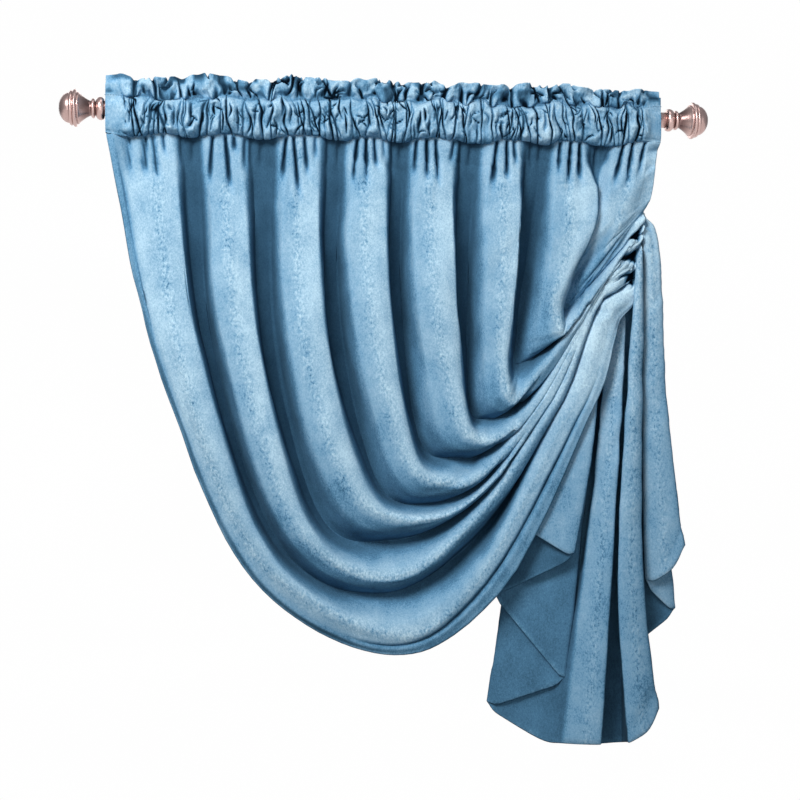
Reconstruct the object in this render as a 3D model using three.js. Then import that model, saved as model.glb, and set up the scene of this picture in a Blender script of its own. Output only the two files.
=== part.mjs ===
// A plush blackout curtain shirred onto a rod: a swag drawn up at the right side into a cascade tail.
// Millimetres, +Z up, the curtain's face towards -Y. The origin is on the rod's axis, midway along it.
import * as THREE from "three";

// Rod and finials
const ROD_RADIUS = 11;
const ROD_WALL = 1.2;
const ROD_LENGTH = 787;
const ROD_SIDES = 28;
const FINIAL_SIDES = 18;
const SEAT_GAP = 0.3;
const SPIGOT_RADIUS = ROD_RADIUS - ROD_WALL - SEAT_GAP;
const SPIGOT_LENGTH = 24;

// Cloth
const CLOTH = 1.6;
const PLEATS = 8;
const HEADING_LEFT = -392;
const HEADING_RIGHT = 384;
const HEADING_WIDTH = HEADING_RIGHT - HEADING_LEFT;
const POCKET_FOOT = -33;
const POCKET_SAG = 3;
const POCKET_HALF = 14;
const POCKET_WALL = 2.2;
const UPPER_STITCH = 17;
const RUFFLE_RIM = 42;

// The gathered seam at the right, where the swag ends: X and Z of its foot and of its head
const SWAG_SEAM = { foot: [343, -258], head: [354, -136] };

const PLUSH = { color: 0x7fabc9, roughness: 0.95, metalness: 0 };
const BRONZE = { color: 0xb08a86, roughness: 0.35, metalness: 1 };

const lerp = (a, b, t) => a + (b - a) * t;
const smooth = (t) => t * t * (3 - 2 * t);
const clamp01 = (t) => Math.min(1, Math.max(0, t));
const turns = (t) => Math.sin(2 * Math.PI * t);

// A table as a list of rows whose values go by the names of its columns.
function table(columns, rows) {
  return rows.map((row) => Object.fromEntries(columns.map((name, i) => [name, row[i]])));
}

function mesh(name, geometry, look) {
  const made = new THREE.Mesh(geometry, new THREE.MeshStandardMaterial(look));
  made.name = name;
  return made;
}

function solidFrom(positions, index) {
  const geometry = new THREE.BufferGeometry();
  geometry.setAttribute("position", new THREE.Float32BufferAttribute(positions, 3));
  geometry.setIndex(index);
  return geometry;
}

// A wave between -1 and 1 whose spacing wanders, as gathers pushed along a rod by hand do.
function unevenWave(share, count, seed, uneven = 1) {
  const wander = 0.42 * turns(3.1 * share + seed) + 0.25 * turns(7.3 * share + 2 * seed);
  return turns(count * share + uneven * wander + seed);
}

// How far the foot of the rod pocket is above or below its mean height: lowest between the pleats.
function footSag(x) {
  return POCKET_SAG * unevenWave((x - HEADING_LEFT) / HEADING_WIDTH, PLEATS, 0.64, 0.2);
}

// A closed solid of cloth: a grid of mid-surface points thickened to both sides, with its rim closed.
function sheetGeometry(grid, thickness) {
  const rows = grid.length;
  const columns = grid[0].length;
  const along = new THREE.Vector3();
  const across = new THREE.Vector3();
  const normal = new THREE.Vector3();
  const positions = [];
  for (const side of [1, -1]) {
    for (let r = 0; r < rows; r++) {
      for (let c = 0; c < columns; c++) {
        along.subVectors(grid[Math.min(r + 1, rows - 1)][c], grid[Math.max(r - 1, 0)][c]);
        across.subVectors(grid[r][Math.min(c + 1, columns - 1)], grid[r][Math.max(c - 1, 0)]);
        normal.crossVectors(along, across).normalize();
        const p = grid[r][c].clone().addScaledVector(normal, (side * thickness) / 2);
        positions.push(p.x, p.y, p.z);
      }
    }
  }
  const face = (r, c) => r * columns + c;
  const back = (r, c) => (rows + r) * columns + c;
  const right = columns - 1;
  const foot = rows - 1;
  const index = [];
  const quad = (a, b, c, d) => index.push(a, b, c, a, c, d);
  for (let r = 0; r < foot; r++) {
    for (let c = 0; c < right; c++) {
      quad(face(r, c), face(r + 1, c), face(r + 1, c + 1), face(r, c + 1));
      quad(back(r, c), back(r, c + 1), back(r + 1, c + 1), back(r + 1, c));
    }
    quad(face(r, 0), back(r, 0), back(r + 1, 0), face(r + 1, 0));
    quad(face(r, right), face(r + 1, right), back(r + 1, right), back(r, right));
  }
  for (let c = 0; c < right; c++) {
    quad(face(0, c), face(0, c + 1), back(0, c + 1), back(0, c));
    quad(face(foot, c), back(foot, c), back(foot, c + 1), face(foot, c + 1));
  }
  return solidFrom(positions, index);
}

// A point between two neighbouring fold lines. Across the fold the cloth runs fast at the crest and in
// the trough and steeply between them; crests are broader than troughs.
const CREST_BREADTH = 1.25;

function acrossFold(from, to, share, steep) {
  const run = share + (steep / (2 * Math.PI)) * turns(share);
  const crestFirst = from.y < to.y;
  const shift = crestFirst ? share ** CREST_BREADTH : 1 - (1 - share) ** CREST_BREADTH;
  const rise = (1 - Math.cos(Math.PI * shift)) / 2;
  return new THREE.Vector3(lerp(from.x, to.x, run), lerp(from.y, to.y, rise), lerp(from.z, to.z, run));
}

// The grid of a folded cloth: fold lines side by side, each a curve from the cloth's head to its foot.
function foldedGrid(curves, stations, steps, steepAt) {
  return stations.map((station) => {
    const line = curves.map((curve) => curve.getPoint(station));
    const row = [];
    for (let i = 0; i + 1 < line.length; i++) {
      for (let s = 0; s < steps; s++) {
        row.push(acrossFold(line[i], line[i + 1], s / steps, steepAt(station)));
      }
    }
    row.push(line[line.length - 1]);
    return row;
  });
}

// Rod: a plain tube along X.
function makeRod() {
  const half = ROD_LENGTH / 2;
  const bore = ROD_RADIUS - ROD_WALL;
  const section = [
    new THREE.Vector2(bore, -half),
    new THREE.Vector2(ROD_RADIUS, -half),
    new THREE.Vector2(ROD_RADIUS, half),
    new THREE.Vector2(bore, half),
    new THREE.Vector2(bore, -half),
  ];
  const rod = mesh("rod", new THREE.LatheGeometry(section, ROD_SIDES), BRONZE);
  rod.rotation.z = -Math.PI / 2;
  return rod;
}

// A turned finial from the rod's end outwards: spigot, round collar, bead, flared neck, ridged rim, dome.
const FINIAL_PROFILE = table(
  ["radius", "out"],
  [
    [0, -SPIGOT_LENGTH],
    [SPIGOT_RADIUS, -SPIGOT_LENGTH],
    [SPIGOT_RADIUS, SEAT_GAP],
    [12.6, SEAT_GAP],
    [15.2, 3],
    [15.8, 6],
    [14.2, 10],
    [9.4, 12.5],
    [13.6, 14.5],
    [13.6, 17],
    [9.2, 20.5],
    [12.5, 27],
    [18.8, 34],
    [22.6, 36],
    [26, 39.5],
    [23.4, 43.5],
    [20.8, 45.5],
    [18.6, 53],
    [11.5, 59.5],
    [0, 62],
  ],
);

function makeFinial(name, towards) {
  const section = FINIAL_PROFILE.map(({ radius, out }) => new THREE.Vector2(radius, out));
  const finial = mesh(name, new THREE.LatheGeometry(section, FINIAL_SIDES), BRONZE);
  finial.rotation.z = (-towards * Math.PI) / 2;
  finial.position.x = (towards * ROD_LENGTH) / 2;
  return finial;
}

// Heading: a doubled strip with a ruffle above the rod and a pocket round it, gathered along the rod.
// Each row is a level of the strip: its height, half its depth there, how far gathers stand out of each
// face, and how far the whole strip swings to and fro as one.
const HEADING_LEVELS = table(
  ["z", "half", "gather", "swing"],
  [
    [POCKET_FOOT, 3.2, 3, 2],
    [-24, 8.6, 5, 0],
    [-9, POCKET_HALF, 5.5, 0],
    [3, POCKET_HALF, 5.5, 0],
    [10, 10.4, 4.5, 0],
    [UPPER_STITCH, 3, 2.5, 2],
    [30, 3.4, 1, 9],
    [RUFFLE_RIM, 2.2, 0, 13],
  ],
);
// The hollow of the pocket, from its top, which rests on the rod, down to its foot
const POCKET_HOLLOW = table(
  ["z", "half"],
  [
    [ROD_RADIUS + 4 * SEAT_GAP, 0],
    [9.2, 8.6],
    [3, POCKET_HALF - POCKET_WALL],
    [-9, POCKET_HALF - POCKET_WALL],
    [-22, 7],
    [-27, 0],
  ],
);
const HEADING_COLUMNS = 100;
const POCKET_GATHERS = 29;
const RUFFLE_LOBES = 17;
const RUFFLE_RISE = { mean: 3, wave: 5 };
const PLAIN_END = 1 / 22;

function headingRings(share) {
  const x = HEADING_LEFT + HEADING_WIDTH * share;
  const full = smooth(clamp01(Math.min(share, 1 - share) / PLAIN_END));
  const front = full * (0.5 + 0.5 * unevenWave(share, POCKET_GATHERS, 0.13));
  const rear = full * (0.5 + 0.5 * unevenWave(share, POCKET_GATHERS, 0.61));
  const lobe = full * unevenWave(share, RUFFLE_LOBES, 0.37);
  const rim = RUFFLE_RISE.mean + RUFFLE_RISE.wave * full * unevenWave(share, 0.8 * RUFFLE_LOBES, 0.82);
  const levels = HEADING_LEVELS.map(({ z, half, gather, swing }) => {
    const above = clamp01((z - UPPER_STITCH) / (RUFFLE_RIM - UPPER_STITCH));
    const below = clamp01(z / POCKET_FOOT);
    const height = z + above * rim + below * footSag(x);
    const near = swing * lobe - half - gather * front;
    const far = swing * lobe + half + gather * rear;
    return { height, near, far };
  });
  const outer = levels.map(({ height, near }) => new THREE.Vector2(near, height));
  levels.reverse().forEach(({ height, far }) => outer.push(new THREE.Vector2(far, height)));
  const inner = POCKET_HOLLOW.map(({ z, half }) => new THREE.Vector2(-half, z));
  const others = POCKET_HOLLOW.slice(1, -1).reverse();
  others.forEach(({ z, half }) => inner.push(new THREE.Vector2(half, z)));
  return { x, outer, inner };
}

function makeHeading() {
  const rings = Array.from({ length: HEADING_COLUMNS + 1 }, (_, c) => headingRings(c / HEADING_COLUMNS));
  const outerSize = rings[0].outer.length;
  const innerSize = rings[0].inner.length;
  const size = outerSize + innerSize;
  const positions = [];
  for (const { x, outer, inner } of rings) {
    for (const p of [...outer, ...inner]) positions.push(x, p.x, p.y);
  }
  const index = [];
  const wall = (here, next, start, count) => {
    for (let i = 0; i < count; i++) {
      const a = start + i;
      const b = start + ((i + 1) % count);
      index.push(here + a, next + a, next + b, here + a, next + b, here + b);
    }
  };
  for (let c = 0; c < HEADING_COLUMNS; c++) {
    wall(c * size, (c + 1) * size, 0, outerSize);
    wall(c * size, (c + 1) * size, outerSize, innerSize);
  }
  for (const c of [0, HEADING_COLUMNS]) {
    const { outer, inner } = rings[c];
    const points = [...outer, ...inner];
    for (const corners of THREE.ShapeUtils.triangulateShape(outer, [inner])) {
      const [p, q, r] = corners.map((i) => points[i]);
      const facesRight = q.clone().sub(p).cross(r.clone().sub(p)) > 0;
      const order = facesRight === c > 0 ? corners : corners.slice().reverse();
      index.push(...order.map((i) => c * size + i));
    }
  }
  return mesh("heading", solidFrom(positions, index), PLUSH);
}

// Swag: fold lines from the left hem to the right shoulder. Each falls from the rod pocket (top) over the
// hip and the knee to its lowest place (belly), and climbs (rise, arm) to the gathered seam.
const SWAG_LINES = table(
  [
    ...["kind", "proud", "topX", "hipX", "hipZ", "kneeX", "kneeZ"],
    ...["bellyX", "bellyZ", "riseX", "riseZ", "armX", "armZ"],
  ],
  [
    ["edge", 1, -391, -327, -331, -199, -636, -8, -755, 144, -679, 286, -408],
    ["crease", 1, -378, -319, -331, -190, -628, -13, -742, 127, -665, 270, -410],
    ["ridge", 1, -327, -291, -331, -176, -610, -3, -722, 113, -655, 255, -411],
    ["valley", 1, -284, -257, -331, -155, -602, -13, -669, 131, -584, 242, -410],
    ["ridge", 1, -237, -208, -331, -121, -578, -3, -645, 116, -563, 234, -410],
    ["valley", 1, -187, -172, -331, -97, -564, 1, -596, 108, -549, 228, -409],
    ["ridge", 1, -133, -124, -302, -45, -526, 53, -564, 138, -513, 222, -408],
    ["valley", 1, -88, -82, -282, -21, -510, 53, -545, 138, -503, 218, -407],
    ["ridge", 1, -36, -32, -260, 25, -478, 80, -515, 131, -498, 214, -406],
    ["valley", 1, 4, 4, -246, 39, -452, 96, -481, 136, -469, 209, -405],
    ["ridge", 1, 53, 59, -232, 97, -420, 128, -457, 167, -441, 205, -405],
    ["valley", 1, 103, 103, -218, 111, -401, 136, -426, 170, -410, 214, -374],
    ["ridge", 0.95, 154, 160, -204, 154, -347, 167, -401, 193, -377, 245, -316],
    ["valley", 0.9, 204, 194, -181, 180, -302, 177, -347, 211, -329, 256, -292],
    ["ridge", 0.85, 253, 261, -166, 231, -259, 238, -306, 262, -281, 300, -232],
    ["valley", 0.7, 295, 292, -135, 264, -212, 247, -272, 274, -246, 309, -208],
    ["ridge", 0.5, 346, 341, -87, 315, -138, 300, -180, 322, -166, 340, -152],
    ["edge", 1, 383, 371, -72, 366, -100, 362, -114, 359, -122, 357, -128],
  ],
);
// How far each kind of line stands before (-) or behind (+) the rod's axis at those places
const SWAG_DEPTH = {
  ridge: { top: -5, hip: -34, knee: -38, belly: -36, rise: -31, arm: -26, end: -9 },
  valley: { top: 5, hip: 14, knee: 12, belly: 6, rise: 4, arm: 2, end: -3 },
  crease: { top: 0, hip: -8, knee: -10, belly: -14, rise: -14, arm: -9, end: -4 },
  edge: { top: 2, hip: 4, knee: 0, belly: -10, rise: -18, arm: -15, end: -4 },
};
// Rows of the sheet on the way from pocket to seam: close together below the pocket, where the gathers
// fan out, and round the belly
const SWAG_FAN = 0.06;
const SWAG_ROWS = table(
  ["until", "rows"],
  [
    [SWAG_FAN, 4],
    [0.3, 4],
    [0.56, 7],
    [1, 6],
  ],
);
const SWAG_STEPS = 5;
const FINGERS_PER_PLEAT = 2.5;
const FINGER_DEPTH = 3;
const SWAG_STEEP = { top: 0.35, below: 0.85 };
const SWAG_SEAT = 4 * SEAT_GAP;

function swagCurves() {
  const last = SWAG_LINES.length - 1;
  return SWAG_LINES.map((line, i) => {
    const depth = SWAG_DEPTH[line.kind];
    const place = (name) => new THREE.Vector3(line[name + "X"], line.proud * depth[name], line[name + "Z"]);
    const points = ["hip", "knee", "belly", "rise", "arm"].map(place);
    points.unshift(new THREE.Vector3(line.topX, depth.top, POCKET_FOOT - SWAG_SEAT));
    const [endX, endZ] = [0, 1].map((axis) => lerp(SWAG_SEAM.foot[axis], SWAG_SEAM.head[axis], i / last));
    points.push(new THREE.Vector3(endX, depth.end, endZ));
    return new THREE.CatmullRomCurve3(points, false, "catmullrom", 0.5);
  });
}

function swagStations() {
  const stations = [0];
  for (const { until, rows } of SWAG_ROWS) {
    const start = stations[stations.length - 1];
    for (let r = 1; r <= rows; r++) stations.push(lerp(start, until, r / rows));
  }
  return stations;
}

function makeSwag() {
  const stations = swagStations();
  const steepAt = (station) => lerp(SWAG_STEEP.top, SWAG_STEEP.below, smooth(clamp01(station * 3)));
  const grid = foldedGrid(swagCurves(), stations, SWAG_STEPS, steepAt);
  grid.forEach((row, r) => {
    const fade = smooth(clamp01(1 - stations[r] / SWAG_FAN));
    row.forEach((point, c) => {
      const fingers = turns((FINGERS_PER_PLEAT * c) / (2 * SWAG_STEPS));
      point.y += fade * FINGER_DEPTH * fingers;
      point.z += fade * footSag(point.x);
    });
  });
  return mesh("swag", sheetGeometry(grid, CLOTH), PLUSH);
}

// Tail: fold lines from its left hem, under the swag, to its free right edge. Each hangs from the gathered
// seam (top) past a neck and a middle place to the stepped hem; Y is how far it stands behind the rod's axis.
// Way says how the cloth crosses the line: on towards the next line, or straight back, forth or across.
const TAIL_LINES = table(
  [
    ...["way", "topX", "topY", "topZ", "neckX", "neckY", "neckZ"],
    ...["midX", "midY", "midZ", "hemX", "hemY", "hemZ"],
  ],
  [
    ["on", 288, 3, -358, 280, 4, -384, 266, 3, -440, 200, -7, -586],
    ["back", 301, 7, -346, 294, 4, -378, 286, -2, -450, 258, -14, -622],
    ["back", 292, 11, -344, 276, 13, -382, 250, 16, -458, 148, 10, -677],
    ["back", 303, 15, -334, 297, 14, -375, 290, 11, -459, 243, 2, -798],
    ["back", 294, 20, -332, 268, 22, -387, 236, 25, -515, 133, 20, -827],
    ["on", 312, 25, -312, 305, 25, -352, 292, 22, -520, 240, 20, -888],
    ["on", 322, 14, -294, 306, 8, -346, 289, -4, -558, 247, -8, -890],
    ["on", 338, 11, -270, 330, 0, -320, 315, -16, -530, 297, -18, -891],
    ["across", 351, 15, -245, 348, 22, -304, 322, 30, -530, 315, 32, -890],
    ["on", 348, -17, -198, 347, -22, -244, 329, -26, -516, 335, -24, -885],
    ["back", 357, -14, -184, 358, -18, -236, 356, -22, -531, 380, -19, -861],
    ["back", 358, 9, -172, 356, 14, -230, 353, 24, -502, 354, 23, -746],
    ["forth", 362, 7, -162, 376, 9, -215, 388, 15, -445, 406, 14, -698],
    ["forth", 360, 1, -152, 364, 1, -205, 363, 4, -430, 369, 4, -664],
    ["back", 365, -5, -138, 382, -9, -183, 393, -11, -402, 418, -12, -611],
    ["on", 365, 3, -132, 372, 3, -178, 376, 2, -373, 386, 2, -546],
  ],
);
const TAIL_WAYS = { back: [0, 1, 0], forth: [0, -1, 0], across: [1, 0, 0] };
const TAIL_ROWS = 13;
const TAIL_BEND = { top: 15, below: 22 };
const TAIL_NARROW = 0.25;
// Places of the points between two fold lines, close to each line, where the cloth bends
const TAIL_STEPS = [0, 0.12, 0.5, 0.88];

function tailCurves() {
  return TAIL_LINES.map((line) => {
    const place = (name) => new THREE.Vector3(line[name + "X"], line[name + "Y"], line[name + "Z"]);
    return new THREE.CatmullRomCurve3(["top", "neck", "mid", "hem"].map(place), false, "catmullrom", 0.5);
  });
}

// Which way, and how far, the cloth runs on where it crosses each fold line.
function crossings(points, bend) {
  const last = points.length - 1;
  return points.map((_, i) => {
    const way = TAIL_WAYS[TAIL_LINES[i].way];
    if (way) return new THREE.Vector3(...way).multiplyScalar(bend);
    const before = points[Math.max(0, i - 1)];
    const after = points[Math.min(last, i + 1)];
    return after.clone().sub(before).multiplyScalar(0.5);
  });
}

function tailRow(curves, station) {
  const points = curves.map((curve) => curve.getPoint(station));
  const bend = lerp(TAIL_BEND.top, TAIL_BEND.below, smooth(clamp01(station / TAIL_NARROW)));
  const ways = crossings(points, bend);
  const row = [];
  for (let i = 0; i + 1 < points.length; i++) {
    const leave = points[i].clone().addScaledVector(ways[i], 1 / 3);
    const reach = points[i + 1].clone().addScaledVector(ways[i + 1], -1 / 3);
    const layer = new THREE.CubicBezierCurve3(points[i], leave, reach, points[i + 1]);
    row.push(...TAIL_STEPS.map((step) => layer.getPoint(step)));
  }
  row.push(points[points.length - 1]);
  return row;
}

function makeTail() {
  const curves = tailCurves();
  const grid = Array.from({ length: TAIL_ROWS + 1 }, (_, row) => tailRow(curves, row / TAIL_ROWS));
  return mesh("tail", sheetGeometry(grid, CLOTH), PLUSH);
}

const curtain = new THREE.Group();
curtain.add(makeRod(), makeFinial("finial_left", -1), makeFinial("finial_right", 1));
curtain.add(makeHeading(), makeSwag(), makeTail());

export default curtain;
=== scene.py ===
"""A plush swag curtain on its rod: cloth, turned finials, finishes, studio and camera."""

import math

import bmesh
import bpy
import numpy as np
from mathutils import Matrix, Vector
from mathutils.geometry import tessellate_polygon


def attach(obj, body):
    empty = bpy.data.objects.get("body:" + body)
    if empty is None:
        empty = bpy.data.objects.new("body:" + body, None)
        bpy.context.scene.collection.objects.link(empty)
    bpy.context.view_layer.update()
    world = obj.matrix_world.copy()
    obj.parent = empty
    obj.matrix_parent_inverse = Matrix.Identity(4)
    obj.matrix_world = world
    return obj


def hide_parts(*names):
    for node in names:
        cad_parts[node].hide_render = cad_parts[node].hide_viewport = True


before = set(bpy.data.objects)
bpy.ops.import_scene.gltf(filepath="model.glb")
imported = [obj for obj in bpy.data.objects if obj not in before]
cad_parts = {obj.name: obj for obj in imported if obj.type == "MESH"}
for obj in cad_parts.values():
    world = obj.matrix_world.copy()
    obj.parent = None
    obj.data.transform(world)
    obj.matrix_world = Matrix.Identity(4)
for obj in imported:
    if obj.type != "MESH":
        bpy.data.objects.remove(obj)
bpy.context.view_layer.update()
BODY = "root"
MM = 0.001
TURN = 2 * math.pi

# Sizes are in millimetres, as in the solids: X along the rod, Y away from the room, Z up.
ROD_LENGTH = 787
ROD_RADIUS = 11
ROD_WALL = 1.2
CLOTH = 1.6
HEADING_LEFT = -392
HEADING_RIGHT = 384
HEADING_WIDTH = HEADING_RIGHT - HEADING_LEFT
POCKET_FOOT = -33
UPPER_STITCH = 17
RUFFLE_RIM = 42
SWAG_TOP = POCKET_FOOT - 0.9


def rows_of(columns, rows):
    """A table's rows as dicts that go by the names of its columns."""
    names = columns.split()
    return [dict(zip(names, row)) for row in rows]


def lerp(start, end, share):
    return start + (end - start) * share


def smooth(share):
    """0 before 0, 1 after 1, and an easy slope between."""
    share = np.clip(share, 0, 1)
    return share * share * (3 - 2 * share)


def uneven_wave(share, count, seed, uneven=1):
    """A wave from -1 to 1 whose spacing wanders, as gathers pushed along a rod by hand do."""
    wander = 0.42 * np.sin(TURN * (3.1 * share + seed)) + 0.25 * np.sin(TURN * (7.3 * share + 2 * seed))
    return np.sin(TURN * (count * share + uneven * wander + seed))


NOISE_CELLS = 256


def soft_noise(u, v, seed):
    """Smooth random values from -1 to 1 over a plane, with a new value at every whole u and v."""
    values = np.random.default_rng(seed).uniform(-1, 1, (NOISE_CELLS, NOISE_CELLS))
    column, row = np.floor(u).astype(int), np.floor(v).astype(int)
    across, down = smooth(u - column), smooth(v - row)

    def corner(right, below):
        return values[(column + right) % NOISE_CELLS, (row + below) % NOISE_CELLS]

    upper = lerp(corner(0, 0), corner(1, 0), across)
    lower = lerp(corner(0, 1), corner(1, 1), across)
    return lerp(upper, lower, down)


def along_curves(knots, stations):
    """Smooth curves through knots[line, knot, xyz], read at stations from 0 to 1: [station, line, xyz]."""
    before = 2 * knots[:, :1] - knots[:, 1:2]
    after = 2 * knots[:, -1:] - knots[:, -2:-1]
    chain = np.concatenate([before, knots, after], axis=1)
    spans = knots.shape[1] - 1
    start = np.minimum((stations * spans).astype(int), spans - 1)
    t = (stations * spans - start)[:, None, None]
    p, q, r, s = (chain[:, start + step].transpose(1, 0, 2) for step in range(4))
    bent = 2 * p - 5 * q + 4 * r - s
    twisted = 3 * q - p - 3 * r + s
    return 0.5 * (2 * q + (r - p) * t + bent * t**2 + twisted * t**3)


def stations_of(stretches):
    """Stations from 0 to 1, with the number of rows that each stretch has until its end."""
    stations = [0.0]
    for stretch in stretches:
        steps = np.arange(1, stretch["rows"] + 1) / stretch["rows"]
        stations.extend(lerp(stations[-1], stretch["until"], steps))
    return np.array(stations)


def normals_of(grid):
    """Unit normals of a grid of points whose rows run down and whose columns run to the right."""
    normal = np.cross(np.gradient(grid, axis=0), np.gradient(grid, axis=1))
    return normal / np.linalg.norm(normal, axis=-1, keepdims=True)


def lengths(grid, axis):
    """How far each point lies along its row (axis 1) or its column (axis 0), in millimetres."""
    step = np.linalg.norm(np.diff(grid, axis=axis), axis=-1)
    padding = [(0, 0), (0, 0)]
    padding[axis] = (1, 0)
    return np.pad(np.cumsum(step, axis=axis), padding)


def cells(index):
    """The quads between neighbouring points of a grid of vertex numbers."""
    quads = np.stack([index[:-1, :-1], index[1:, :-1], index[1:, 1:], index[:-1, 1:]], axis=-1)
    return quads.reshape(-1, 4)


def closed_sheet(grid, thickness):
    """Vertices and quads of a cloth with the grid as its middle and a rounded rim, and their grid points."""
    rows, columns = grid.shape[:2]
    count = rows * columns
    half = thickness[..., None] / 2
    raised = normals_of(grid) * half
    inner = grid[np.clip(np.arange(rows), 1, rows - 2)][:, np.clip(np.arange(columns), 1, columns - 2)]
    outward = grid - inner
    outward = outward / np.maximum(np.linalg.norm(outward, axis=-1, keepdims=True), 1e-6)
    face = np.arange(count).reshape(rows, columns)
    rim = np.concatenate([face[:, 0], face[-1, 1:], face[-2::-1, -1], face[0, -2:0:-1]])
    bead = (grid + outward * half).reshape(-1, 3)[rim]
    vertices = np.concatenate([(grid + raised).reshape(-1, 3), (grid - raised).reshape(-1, 3), bead])
    edges = np.stack([rim, 2 * count + np.arange(len(rim)), rim + count])
    following = np.roll(edges, -1, axis=1)
    border = [np.stack([edges[i], edges[i + 1], following[i + 1], following[i]], axis=-1) for i in (0, 1)]
    quads = np.concatenate([cells(face), cells(face)[:, ::-1] + count, *border])
    return vertices, quads, np.concatenate([np.arange(count), np.arange(count), rim])


def add_piece(name, vertices, faces, finish, flat=None, **fields):
    """A smooth mesh from millimetres, with its flat coordinates in metres and its named surface values."""
    mesh = bpy.data.meshes.new(name)
    mesh.from_pydata((np.asarray(vertices) * MM).tolist(), [], [list(face) for face in faces])
    mesh.polygons.foreach_set("use_smooth", np.ones(len(mesh.polygons), bool))
    if flat is not None:
        corners = np.empty(len(mesh.loops), np.int32)
        mesh.loops.foreach_get("vertex_index", corners)
        layer = mesh.uv_layers.new(name="flat")
        layer.data.foreach_set("uv", (flat[corners] * MM).astype(np.float32).ravel())
    for field, values in fields.items():
        layer = mesh.attributes.new(field, "FLOAT", "POINT")
        layer.data.foreach_set("value", np.asarray(values, np.float32))
    mesh.materials.append(finish)
    piece = bpy.data.objects.new(name, mesh)
    bpy.context.scene.collection.objects.link(piece)
    return piece


def add_cloth(name, grid, thickness, finish, fold, crest):
    """A closed sheet of cloth on a grid, with its flat coordinates, its painted light and shade and its
    crest values.
    """
    vertices, quads, source = closed_sheet(grid, np.broadcast_to(thickness, grid.shape[:2]))
    across, down = lengths(grid, 1), lengths(grid, 0)
    widest = across[np.argmax(across[:, -1])]
    flat = np.stack(np.broadcast_arrays(widest[None, :], down), axis=-1).reshape(-1, 2)
    fold, crest = fold.ravel()[source], crest.ravel()[source]
    return add_piece(name, vertices, quads, finish, flat[source], fold=fold, crest=crest)


# Finishes


class Wire:
    """A socket of a finish's node tree. Arithmetic on it adds Math nodes."""

    def __init__(self, finish, socket):
        self.finish = finish
        self.socket = socket

    def maths(self, operation, first, second):
        return self.finish.node("ShaderNodeMath", {"operation": operation}, {0: first, 1: second})

    def __add__(self, other):
        return self.maths("ADD", self, other)

    def __sub__(self, other):
        return self.maths("SUBTRACT", self, other)

    def __rsub__(self, other):
        return self.maths("SUBTRACT", other, self)

    def __mul__(self, other):
        return self.maths("MULTIPLY", self, other)

    __radd__ = __add__
    __rmul__ = __mul__


class Finish:
    """A material whose nodes are made one by one and end in a Principled shader."""

    def __init__(self, name):
        self.material = bpy.data.materials.new(name)
        self.material.use_nodes = True
        self.tree = self.material.node_tree
        self.tree.nodes.clear()

    def node(self, kind, settings=None, sockets=None, output=0):
        made = self.tree.nodes.new(kind)
        for name, value in (settings or {}).items():
            setattr(made, name, value)
        for name, value in (sockets or {}).items():
            if isinstance(value, Wire):
                self.tree.links.new(value.socket, made.inputs[name])
            else:
                made.inputs[name].default_value = value
        return Wire(self, made.outputs[output])

    def field(self, name):
        return self.node("ShaderNodeAttribute", {"attribute_name": name}, output="Fac")

    def stretched(self, vector, scale):
        settings = {"operation": "MULTIPLY"}
        return self.node("ShaderNodeVectorMath", settings, {0: vector, 1: scale})

    def noise(self, vector, detail=2.0, rough=0.5):
        sockets = {"Vector": vector, "Scale": 1.0, "Detail": detail, "Roughness": rough}
        return self.node("ShaderNodeTexNoise", {"noise_dimensions": "3D"}, sockets)

    def between(self, value, low, high):
        sockets = {"Value": value, "From Min": low, "From Max": high}
        return self.node("ShaderNodeMapRange", {"interpolation_type": "LINEAR"}, sockets)

    def mix(self, share, first, second):
        sockets = {0: share, 6: first, 7: second}
        return self.node("ShaderNodeMix", {"data_type": "RGBA"}, sockets, output=2)

    def finish(self, sockets):
        shader = self.node("ShaderNodeBsdfPrincipled", None, sockets)
        self.node_output(shader)
        return self.material

    def node_output(self, shader):
        output = self.tree.nodes.new("ShaderNodeOutputMaterial")
        self.tree.links.new(shader.socket, output.inputs["Surface"])


# The pile's colours: painted shade in a shut hollow and deep in a fold, its body, and a painted highlight
PAINTED_HOLLOW_SHADE = (0.002, 0.006, 0.012, 1)
PAINTED_DEEP_SHADE = (0.01, 0.034, 0.066, 1)
PILE_BODY = (0.115, 0.29, 0.47, 1)
PAINTED_PILE_HIGHLIGHT = (0.58, 0.79, 0.91, 1)
# Waves to a metre, along X, Y and Z, of the pile's tips, its parted strands and its soft blotches
TIP_WAVES = (600, 600, 430)
STRAND_WAVES = (310, 310, 210)
BLOTCH_WAVES = (30, 30, 22)
# The key light's side, to the left, to the room and up: pile turned away from it gets painted shade
LIT_SIDE = (-0.4, -0.81, 0.43)


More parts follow.
